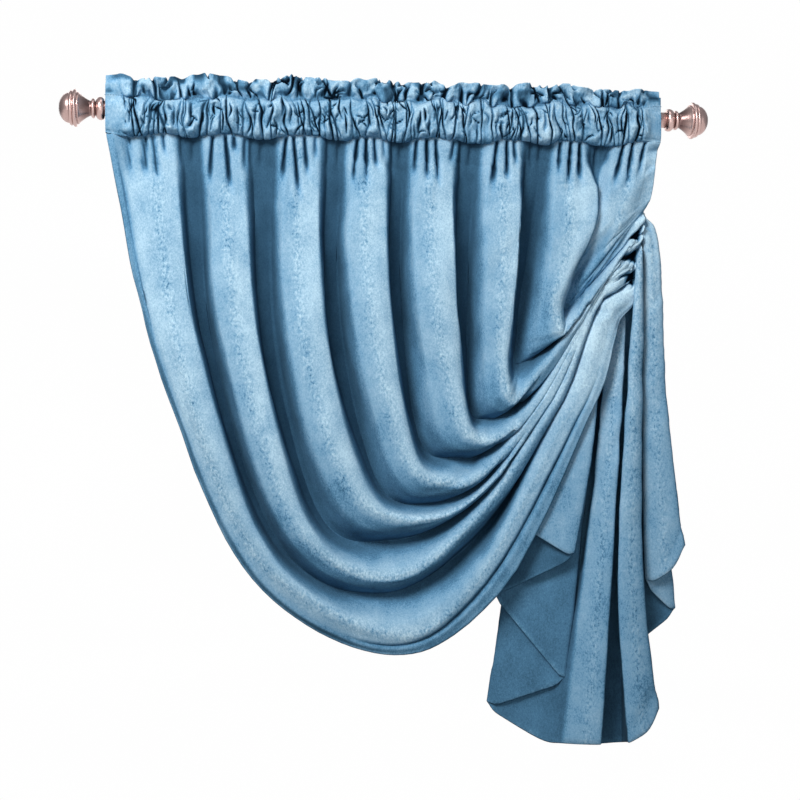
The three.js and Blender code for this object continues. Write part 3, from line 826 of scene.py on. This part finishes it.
def pleat_side(away, side, stations, floor):
    """The way from a ridge (0) to a valley (1) at even steps: places along it, and the height left."""
    half = read_at(PLEAT_SHAPES, side + "_half", stations)
    wall = np.minimum(read_at(PLEAT_SHAPES, side, stations) - floor, 0.99 - half)
    near, far = wall - half, np.minimum(wall + half, 0.99)
    foot = 1 - np.clip(1 - far, 0.04, 0.24)
    crowded = np.where(away < 0.36, away / 0.36 * near, lerp(near, far, (away - 0.36) / (foot - 0.36)))
    crowded = np.where(away > foot, lerp(far, 1, (away - foot) / (1 - foot)), crowded)
    place = lerp(np.broadcast_to(away, crowded.shape), crowded, smooth(stations / 0.12)[:, None])
    walled = 1 - smooth((place - wall + half) / (2 * half))
    return place, lerp(walled, np.cos(math.pi / 2 * place), read_at(PLEAT_SHAPES, "round", stations))


def pleat_light(place, side, crest, stations, floor, fill):
    """Painted light and shade of the pile at places from a ridge (0) to a valley (1)."""
    past, ease, deep = (read_at(PLEAT_LIGHT, name, stations) for name in ("past", "ease", "deep"))
    limits = ("dusk", "left_to") if side == "left" else ("right_from", "right_to")
    low, high = (read_at(PLEAT_LIGHT, name, stations) for name in limits)
    shaded = smooth(place / ease) * (1 - fill) if side == "left" else 0
    lit = lerp(crest, np.minimum(past, crest), shaded)
    dark = smooth((place - low + floor) / (high - low))
    return lerp(lit, deep, dark * (1 - fill))


def across_folds(folds, stations):
    """The swag's cloth over its fold lines, [station, column, xyz], and the painted light and shade of its
    pile there.
    """
    kinds = [line["kind"] for line in SWAG_LINES]
    crests = [read_at(PLEAT_LIGHT, "crest", stations)] * len(kinds)
    crests[:3] = [read_at(HEM_LIGHT, name, stations) for name in ("edge", "crease", "crest")]
    columns, light = [], []
    for gap, count in enumerate(SWAG_STEPS):
        start, end = folds[:, gap, None], folds[:, gap + 1, None]
        share = (np.arange(count) / count)[None, :]
        side = {"ridge": "right", "valley": "left"}.get(kinds[gap]) if gap < len(SWAG_STEPS) - 1 else None
        valley = gap + 1 if side == "right" else gap
        floor, fill = (arm_valley(name, valley, stations) for name in ("floor", "fill"))
        if side:
            place, height = pleat_side(share if side == "right" else 1 - share, side, stations, floor)
            crest = crests[gap] if side == "right" else crests[gap + 1]
            lit = pleat_light(place, side, crest, stations, floor, fill)
            run, rise = (place, 1 - height) if side == "right" else (1 - place, height)
        else:
            run = np.broadcast_to(share, (len(stations), count))
            rise = (1 - np.cos(math.pi * run)) / 2
            lit = lerp(crests[gap], crests[gap + 1], smooth(4 * run - 2.8 if gap == 0 else 2.2 * run))
        columns.append(start + (end - start) * np.stack([run, rise, run], axis=-1))
        light.append(lit)
    light.append(crests[-1])
    return np.concatenate([*columns, folds[:, -1:]], axis=1), np.concatenate(light, axis=1)


def slit_share(x, z):
    """How far the cloth sinks back, in millimetres, into the slits below the pocket."""
    depth = np.zeros_like(x)
    for slit in SLITS:
        fall = np.clip((SWAG_TOP - z) / (SWAG_TOP - slit["low"]), 0, 1.2)
        centre = lerp(slit["top"], slit["foot"], fall)
        near = np.abs(x - centre) / lerp(SLIT_REACH["top"], SLIT_REACH["foot"], fall)
        depth = np.maximum(depth, slit["depth"] * smooth((1.2 - fall) / 0.7) * (1 - smooth(near)))
    return depth


def pocket_share(x, z):
    """1 inside the pockets beside the seam, which get painted shade, fading to 0 outside them."""
    share = np.zeros_like(x)
    for pocket in POCKETS:
        reach = (x - pocket["tip_x"]) / ((pocket["upper_x"] + pocket["lower_x"]) / 2 - pocket["tip_x"])
        upper = lerp(pocket["tip_z"], pocket["upper_z"], reach)
        lower = lerp(pocket["tip_z"], pocket["lower_z"], reach)
        inside = np.minimum(upper - z, z - lower) / 4 + 0.35
        share = np.maximum(share, smooth(inside) * smooth(reach * 6) * (reach > 0))
    return share


def merged(values, stations, starts):
    """Values of the grid's columns, with the folds of the merged arm smoothed into one band."""
    first, last = (starts[line] for line in MERGED_ARM)
    window = np.hanning(MERGED_REACH) / np.hanning(MERGED_REACH).sum()
    padded = np.pad(values[:, first:last], ((0, 0), (MERGED_REACH // 2, MERGED_REACH // 2)), "edge")
    band = np.stack([np.convolve(row, window, "valid") for row in padded])
    from_side = np.minimum(np.arange(last - first), np.arange(last - first)[::-1])
    share = smooth((stations - MERGED_FROM) / 0.06)[:, None] * smooth(from_side / MERGED_EASE)[None, :]
    result = values.copy()
    result[:, first:last] = lerp(values[:, first:last], band, share)
    return result


def crest_band(grid, columns, width, aside=0):
    """1 along the columns, or aside from them to the left, fading to 0 at the width beside them."""
    across = lengths(grid, 1)
    nearest = np.minimum.reduce([np.abs(across - across[:, column, None] + aside) for column in columns])
    return np.exp(-((nearest / width) ** 2))


def part_and_tuck(grid, light, stations, starts):
    """Sinks the pockets beside the seam and the hem's tuck into the grid, and paints shade into the light
    there.
    """
    parted = pocket_share(grid[..., 0], grid[..., 2]) * ((stations > 0.9) & (stations < 1))[:, None]
    grid[..., 1] += POCKET_DEPTH * parted
    tucked = read_at(TUCK, "share", stations) * crest_band(grid, [starts[1]], TUCK_REACH)
    grid[..., 1] += TUCK_DEPTH * tucked
    return light * (1 - 1.2 * parted) * (1 - 0.85 * tucked)


def hang_from_pocket(grid, stations):
    """Fits the grid's top to the pocket's foot, and says how far the cloth sinks into the slits below it."""
    near_top = smooth(1 - stations / SWAG_ROWS[0]["until"])[:, None]
    grid[..., 2] += near_top * foot_sag(grid[..., 0])
    sunk = slit_share(grid[..., 0], grid[..., 2]) * smooth((grid[..., 2] + 190) / 40)
    sunk[0] = 0
    grid[..., 1] += sunk - PLAIN_FORWARD * (1 - gather_share(grid[..., 0])) * near_top
    return sunk


def ragged_hem(grid, stations):
    """The grid with its left hem drawn in and out a little."""
    hem_way = grid[:, :1] - grid[:, HEM_COLUMNS : HEM_COLUMNS + 1]
    hem_way = hem_way / np.linalg.norm(hem_way, axis=-1, keepdims=True)
    along = lengths(grid, 0)[:, :1]
    ragged = HEM_RAGGED * soft_noise(along / 60, 0 * along, 12) * smooth(stations / 0.1)[:, None]
    at_hem = np.clip(1 - np.arange(grid.shape[1]) / HEM_COLUMNS, 0, 1)[None, :]
    return grid + hem_way * (ragged * at_hem)[..., None]


def uneven_swag(grid, stations, in_arm):
    """The grid with the soft lumps of the cloth, its knuckles beside the seam and its pile."""
    across, down = lengths(grid, 1), lengths(grid, 0)
    x, z = grid[..., 0], grid[..., 2]
    settled = smooth(down / 60) * smooth((down[-1] - down) / 60)
    fine = lerp(soft_noise(across / 17, down / 34, 4), soft_noise(x / 18, z / 18, 4), in_arm)
    lumps = UNEVEN * (1 - in_arm) * soft_noise(across / 52, down / 110, 3) + 0.7 * fine
    knuckles = KNUCKLES * soft_noise(x / 13, z / 11, 8) * smooth((stations - 0.92) / 0.05)[:, None]
    pile = 0.1 * (1 - in_arm) * soft_noise(across / 4.5, down / 6.5, 6)
    return grid + normals_of(grid) * (lumps * settled + knuckles + pile)[..., None]


def make_swag(finish):
    stations = stations_of(SWAG_ROWS)
    grid, light = across_folds(swag_folds(stations), stations)
    starts = np.concatenate([[0], np.cumsum(SWAG_STEPS)])
    light = merged(light, stations, starts)
    for axis in range(3):
        grid[..., axis] = merged(grid[..., axis], stations, starts)
    light = part_and_tuck(grid, light, stations, starts)
    sunk = hang_from_pocket(grid, stations)
    grid = ragged_hem(grid, stations)
    down = lengths(grid, 0)
    in_arm = smooth((stations - 0.7) / 0.1)[:, None]
    grid = uneven_swag(grid, stations, in_arm)
    # Painted shade deep in the slits below the pocket
    fold = light * (1 - 0.97 * smooth(sunk / 7.5))
    thickness = lerp(CLOTH, PLUSH, smooth(down / 80) * smooth((down[-1] - down) / 140))
    ridges = [starts[i] for i, line in enumerate(SWAG_LINES) if line["kind"] == "ridge"]
    aside = PARTING_ASIDE * smooth((0.42 - stations) / 0.12)[:, None]
    crest = crest_band(grid, ridges, 8, aside) * (1 - 0.6 * in_arm)
    return add_cloth("swag_cloth", grid, thickness, finish, fold, crest)


# Tail: fold lines from its left hem, under the swag, to its free right edge, as in the solids

TAIL_PLACES = ("top", "neck", "mid", "hem")
# The last column is the painted light and shade of the cloth between a line and the next one
TAIL_LINES = rows_of(
    "way top_x top_y top_z neck_x neck_y neck_z mid_x mid_y mid_z hem_x hem_y hem_z open",
    [
        ("on", 288, 2, -358, 280, -7, -384, 266, -12, -440, 200, -16, -586, 0.9),
        ("back", 301, 6, -346, 294, -5, -378, 286, -14, -450, 258, -20, -622, 0.3),
        ("back", 292, 11, -344, 276, 13, -382, 250, 16, -458, 148, 10, -677, 0.48),
        ("back", 303, 15, -334, 297, 14, -375, 290, 11, -459, 250, 2, -802, 0.46),
        ("back", 294, 20, -332, 268, 22, -387, 184, 25, -590, 140, 20, -838, 0.4),
        ("on", 312, 25, -312, 305, 25, -352, 292, 24, -520, 214, 14, -883, 0.35),
        ("on", 326, 14, -294, 311, 8, -346, 287, -4, -558, 246, -6, -886, 0.85),
        ("back", 338, 11, -270, 335, 0, -320, 319, -16, -530, 297, -18, -886, 0.2),
        ("across", 346, 18, -258, 340, 23, -312, 325, 31, -530, 308, 33, -898, 0.3),
        ("across", 353, 17, -238, 357, 24, -300, 340, 32, -530, 340, 34, -897, 0.24),
        ("forth", 349, -15, -198, 345, -19, -244, 321, -23, -630, 336, -22, -884, 0.85),
        ("back", 355, -14, -184, 356, -18, -236, 356, -21, -630, 381, -18, -861, 0),
        ("back", 356, 9, -172, 354, 14, -230, 351, 22, -502, 354, 21, -758, 0.3),
        ("forth", 360, 7, -162, 375, 9, -215, 388, 14, -445, 414, 13, -708, 1),
        ("forth", 356, -3, -152, 361, -6, -205, 361, -5, -430, 367, 0, -664, 0.95),
        ("back", 362, -5, -136, 382, -9, -183, 393, -11, -402, 420, -12, -630, 0.4),
        ("on", 361, 3, -131, 371, 3, -178, 376, 2, -373, 386, 2, -546, 0.4),
    ],
)
TAIL_WAYS = {"back": (0, 1, 0), "forth": (0, -1, 0), "across": (1, 0, 0)}
TAIL_BEND = {"top": 13, "below": 21}
TAIL_NARROW = 0.25
TAIL_ROWS = 120
TAIL_STEPS = 16
# The gaps between lines whose cloth faces the room, where the pile parts along the middle
TAIL_FACES = (6, 10, 14)
CORNER_RISE = 8
# Fold lines that meet the hem square, in the deep fold
TAIL_SQUARE = (7, 10)
# Where a soft groove runs down the outer face from the seam, in gaps between lines
TAIL_GROOVE = 14.6
GROOVE_DEPTH = 4
# The painted light of the faces at the seam and at the hem, darker towards the hem in painted shade
TAIL_LIGHT = {"seam": 1.14, "hem": 0.66}
TAIL_PLUSH = 3
# The gaps between lines given a painted shadow behind the swag, and the heights where they come out of it
TAIL_SHADED = (3, 6)
SHADE_FROM = -430
SHADE_TO = -600
# The rounded lower corners of the outer faces: their lines, how far they rise and how far that reaches
ROUND_LINES = (11, 15)
ROUND_RISE = 15
ROUND_REACH = 16


def tail_ways(folds, stations):
    """Which way, and how far, the cloth runs on where it crosses each fold line."""
    bend = lerp(TAIL_BEND["top"], TAIL_BEND["below"], smooth(stations / TAIL_NARROW))
    ends = np.concatenate([folds[:, :1], folds, folds[:, -1:]], axis=1)
    ways = (ends[:, 2:] - ends[:, :-2]) / 2
    for number, line in enumerate(TAIL_LINES):
        if line["way"] in TAIL_WAYS:
            ways[:, number] = bend[:, None] * np.array(TAIL_WAYS[line["way"]])
    return ways


def across_tail(stations):
    """The tail's cloth over its fold lines, [station, column, xyz]."""
    knots = [[[line[f"{place}_{axis}"] for axis in "xyz"] for place in TAIL_PLACES] for line in TAIL_LINES]
    folds = along_curves(np.array(knots, float), stations)
    ways = tail_ways(folds, stations)
    share = (np.arange(TAIL_STEPS) / TAIL_STEPS)[None, None, :, None]
    leave, reach = folds[:, :-1, None], folds[:, 1:, None]
    leave_way, reach_way = ways[:, :-1, None], ways[:, 1:, None]
    bow = leave_way * share * (1 - share) ** 2 - reach_way * share**2 * (1 - share)
    layers = (lerp(leave, reach, smooth(share)) + bow).reshape(len(stations), -1, 3)
    return np.concatenate([layers, folds[:, -1:]], axis=1)


def tail_light(grid, stations, groove):
    """The painted light and shade of the tail's cloth, with painted shade in the groove and a painted
    highlight along the hem.
    """
    panels = np.repeat([line["open"] for line in TAIL_LINES[:-1]], TAIL_STEPS)
    panels = np.convolve(np.pad(np.append(panels, panels[-1]), 1, "edge"), np.ones(3) / 3, "valid")
    falling = lerp(TAIL_LIGHT["seam"], TAIL_LIGHT["hem"], smooth(stations * 1.1))[:, None]
    light = panels[None, :] * falling * (1 - 0.45 * groove)
    shaded = slice(*(gap * TAIL_STEPS for gap in TAIL_SHADED))
    out_of_shade = smooth((SHADE_FROM - grid[:, shaded, 2]) / (SHADE_FROM - SHADE_TO))
    light[:, shaded] *= lerp(0.1, 1, out_of_shade)
    # A painted highlight along the hem
    light[-1] += 0.15
    return light


def make_tail(finish):
    stations = np.linspace(0, 1, TAIL_ROWS)
    grid = across_tail(stations)
    across, down = lengths(grid, 1), lengths(grid, 0)
    turned = [i for i, line in enumerate(TAIL_LINES) if line["way"] in ("back", "forth")]
    at_fold = crest_band(grid, [line * TAIL_STEPS for line in turned if line not in TAIL_SQUARE], 9)
    at_corner = crest_band(grid, [line * TAIL_STEPS for line in ROUND_LINES], ROUND_REACH)
    near_hem = smooth(1 - (down[-1] - down) / 70)
    grid[..., 2] += (CORNER_RISE * at_fold + ROUND_RISE * at_corner) * near_hem
    lumps = 1.1 * soft_noise(across / 40, down / 130, 21) + 0.4 * soft_noise(across / 15, down / 30, 22)
    pile = 0.22 * soft_noise(across / 4.5, down / 6.5, 23)
    grid = grid + normals_of(grid) * (lumps * smooth(down / 90) + pile)[..., None]
    groove = bump_at(np.arange(grid.shape[1]), TAIL_GROOVE * TAIL_STEPS, 2.2)[None, :]
    groove = groove * (1 - smooth(stations / 0.6))[:, None]
    grid[..., 1] += GROOVE_DEPTH * groove
    fold = tail_light(grid, stations, groove)
    middles = [gap * TAIL_STEPS + TAIL_STEPS // 2 for gap in TAIL_FACES]
    thickness = lerp(CLOTH, TAIL_PLUSH, smooth(down / 160))
    return add_cloth("tail_cloth", grid, thickness, finish, fold, crest_band(grid, middles, 8))


# Stitches along the heading's two seams

STITCH_PITCH = 3.6
STITCH_LENGTH = 2.7
STITCH_RADIUS = 0.45


def stitch_tree(finish):
    """A node tree that sews stitches along a curve: pitch, length and radius are its inputs."""
    tree = bpy.data.node_groups.new("sewn_stitches", "GeometryNodeTree")
    face = tree.interface
    face.new_socket("Seam", in_out="INPUT", socket_type="NodeSocketGeometry")
    for name in ("Pitch", "Length", "Radius"):
        face.new_socket(name, in_out="INPUT", socket_type="NodeSocketFloat")
    face.new_socket("Stitches", in_out="OUTPUT", socket_type="NodeSocketGeometry")

    def node(kind, settings=None, sockets=None):
        made = tree.nodes.new(kind)
        for name, value in (settings or {}).items():
            setattr(made, name, value)
        for name, value in (sockets or {}).items():
            if isinstance(value, bpy.types.NodeSocket):
                tree.links.new(value, made.inputs[name])
            else:
                made.inputs[name].default_value = value
        return made.outputs

    given = node("NodeGroupInput")
    spaced = {"Curve": given["Seam"], "Length": given["Pitch"]}
    places = node("GeometryNodeCurveToPoints", {"mode": "LENGTH"}, spaced)
    bead = node("GeometryNodeMeshUVSphere", None, {"Segments": 8, "Rings": 6, "Radius": 1.0})
    half = node("ShaderNodeMath", {"operation": "MULTIPLY"}, {0: given["Length"], 1: 0.5})
    size = node("ShaderNodeCombineXYZ", None, {"X": half[0], "Y": given["Radius"], "Z": given["Radius"]})
    stitch = node("GeometryNodeTransform", None, {"Geometry": bead["Mesh"], "Scale": size[0]})
    turn = node("FunctionNodeAlignRotationToVector", {"axis": "X"}, {"Vector": places["Tangent"]})
    sewing = {"Points": places["Points"], "Instance": stitch[0], "Rotation": turn[0]}
    sewn = node("GeometryNodeInstanceOnPoints", None, sewing)
    real = node("GeometryNodeRealizeInstances", None, {"Geometry": sewn[0]})
    shaded = node("GeometryNodeSetMaterial", None, {"Geometry": real[0], "Material": finish})
    node("NodeGroupOutput", None, {"Stitches": shaded[0]})
    return tree


def sewn_piece(name, seams, finish):
    """Stitches along several seams, each a row of points in millimetres, as one plain mesh."""
    path = bpy.data.curves.new(name + "_path", "CURVE")
    path.dimensions = "3D"
    for seam in seams:
        spline = path.splines.new("POLY")
        spline.points.add(len(seam) - 1)
        points = np.concatenate([seam * MM, np.ones((len(seam), 1))], axis=1)
        spline.points.foreach_set("co", points.astype(np.float32).ravel())
    guide = bpy.data.objects.new(name + "_path", path)
    bpy.context.scene.collection.objects.link(guide)
    tree = stitch_tree(finish)
    sewing = guide.modifiers.new("sewing", "NODES")
    sewing.node_group = tree
    sizes = {"Pitch": STITCH_PITCH, "Length": STITCH_LENGTH, "Radius": STITCH_RADIUS}
    for item in tree.interface.items_tree:
        if item.name in sizes:
            sewing[item.identifier] = sizes[item.name] * MM
    evaluated = guide.evaluated_get(bpy.context.evaluated_depsgraph_get())
    mesh = bpy.data.meshes.new_from_object(evaluated)
    guide.modifiers.remove(sewing)
    bpy.data.objects.remove(guide)
    mesh.polygons.foreach_set("use_smooth", np.ones(len(mesh.polygons), bool))
    piece = bpy.data.objects.new(name, mesh)
    bpy.context.scene.collection.objects.link(piece)
    return piece


def stitch_seams(front, back):
    """The seams of the heading: the row of each face that is nearest to the upper stitch line."""
    seams = []
    for face, side in ((front, -1), (back, 1)):
        level = int(np.argmin(np.abs(face[:, 0, 2] - UPPER_STITCH)))
        seams.append(face[level] + np.array([0, side * STITCH_RADIUS / 2, 0]))
    return seams


# The curtain

plush = plush_finish()
bronze = bronze_finish()
rod = make_rod(bronze)
finials = {side: make_finial(side, towards, bronze) for side, towards in (("left", -1), ("right", 1))}
heading, heading_front, heading_back = make_heading(plush)
swag = make_swag(plush)
tail = make_tail(plush)
stitches = sewn_piece("heading_stitches", stitch_seams(heading_front, heading_back), thread_finish())

REPLACED = {rod: "rod", finials["left"]: "finial_left", finials["right"]: "finial_right"}
REPLACED |= {heading: "heading", swag: "swag", tail: "tail"}
for piece, node in REPLACED.items():
    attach(piece, BODY)
    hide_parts(node)
    "bronze" if piece in (rod, *finials.values()) else "plush"
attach(stitches, BODY)

# Studio

FLOOR_Z = -1.25
SWEEP_BACK = 3.2
SWEEP_FRONT = -4.5
SWEEP_RADIUS = 1.6
SWEEP_TOP = 3.4
SWEEP_HALF = 5.0


def make_sweep():
    """A paper sweep: the pale floor, turned up behind the curtain into a backdrop."""
    side_view = [(SWEEP_FRONT, FLOOR_Z)]
    for turn in np.linspace(0, math.pi / 2, 16):
        back, rise = SWEEP_RADIUS * math.sin(turn), SWEEP_RADIUS * (1 - math.cos(turn))
        side_view.append((SWEEP_BACK + back, FLOOR_Z + rise))
    side_view.append((SWEEP_BACK + SWEEP_RADIUS, SWEEP_TOP))
    grid = np.array([[(x, y, z) for x in (-SWEEP_HALF, SWEEP_HALF)] for y, z in side_view], float)
    index = np.arange(2 * len(side_view)).reshape(-1, 2)
    sweep = add_piece("studio_sweep", grid.reshape(-1, 3) / MM, cells(index)[:, ::-1], paper_finish())
    sweep.visible_diffuse = False


def aim(thing, place, target):
    thing.location = place
    thing.rotation_euler = (Vector(target) - Vector(place)).to_track_quat("-Z", "Y").to_euler()


LIGHTS = rows_of(
    "name place size power",
    [
        ("key", (-1.05, -1.7, 0.95), 1.0, 54.5),
        ("front", (-0.3, -2.9, -0.5), 1.8, 16),
        ("fill", (1.9, -2.6, 0.0), 2.2, 8),
        ("top", (0.1, -0.5, 1.9), 0.9, 6),
        ("back", (-0.5, 2.3, 0.6), 2.0, 16),
    ],
)
LIGHT_TARGET = (0, 0, -0.35)
AMBIENT = 0.08
# How bright the room is in the metal's reflections
REFLECTED_AMBIENT = 0.4


def make_lights():
    for row in LIGHTS:
        lamp = bpy.data.lights.new(row["name"], "AREA")
        lamp.shape = "DISK"
        lamp.size = row["size"]
        lamp.energy = row["power"]
        light = bpy.data.objects.new(row["name"], lamp)
        light.visible_camera = False
        bpy.context.scene.collection.objects.link(light)
        aim(light, row["place"], LIGHT_TARGET)
    world = bpy.data.worlds.new("studio")
    world.use_nodes = True
    world.node_tree.nodes["Background"].inputs["Color"].default_value = (0.9, 0.95, 1, 1)
    nodes, links = world.node_tree.nodes, world.node_tree.links
    ray = nodes.new("ShaderNodeLightPath")
    strength = nodes.new("ShaderNodeMapRange")
    strength.inputs["To Min"].default_value = AMBIENT
    strength.inputs["To Max"].default_value = REFLECTED_AMBIENT
    links.new(ray.outputs["Is Glossy Ray"], strength.inputs["Value"])
    links.new(strength.outputs["Result"], nodes["Background"].inputs["Strength"])
    bpy.context.scene.world = world


# The photograph's view: the camera stands to the left of the middle, level with the curtain's middle
CAMERA_PLACE = (-0.2225, -2.0317, -0.3696)
CAMERA_SIGHT = (0.0125, 0, -0.399)
LENS = 65.63
SENSOR = 36


def make_camera():
    eye = bpy.data.cameras.new("photo_view")
    eye.lens = LENS
    eye.sensor_width = SENSOR
    camera = bpy.data.objects.new("photo_view", eye)
    bpy.context.scene.collection.objects.link(camera)
    aim(camera, CAMERA_PLACE, CAMERA_SIGHT)
    bpy.context.scene.camera = camera


make_sweep()
make_lights()
make_camera()
bpy.context.scene.view_settings.view_transform = "Standard"
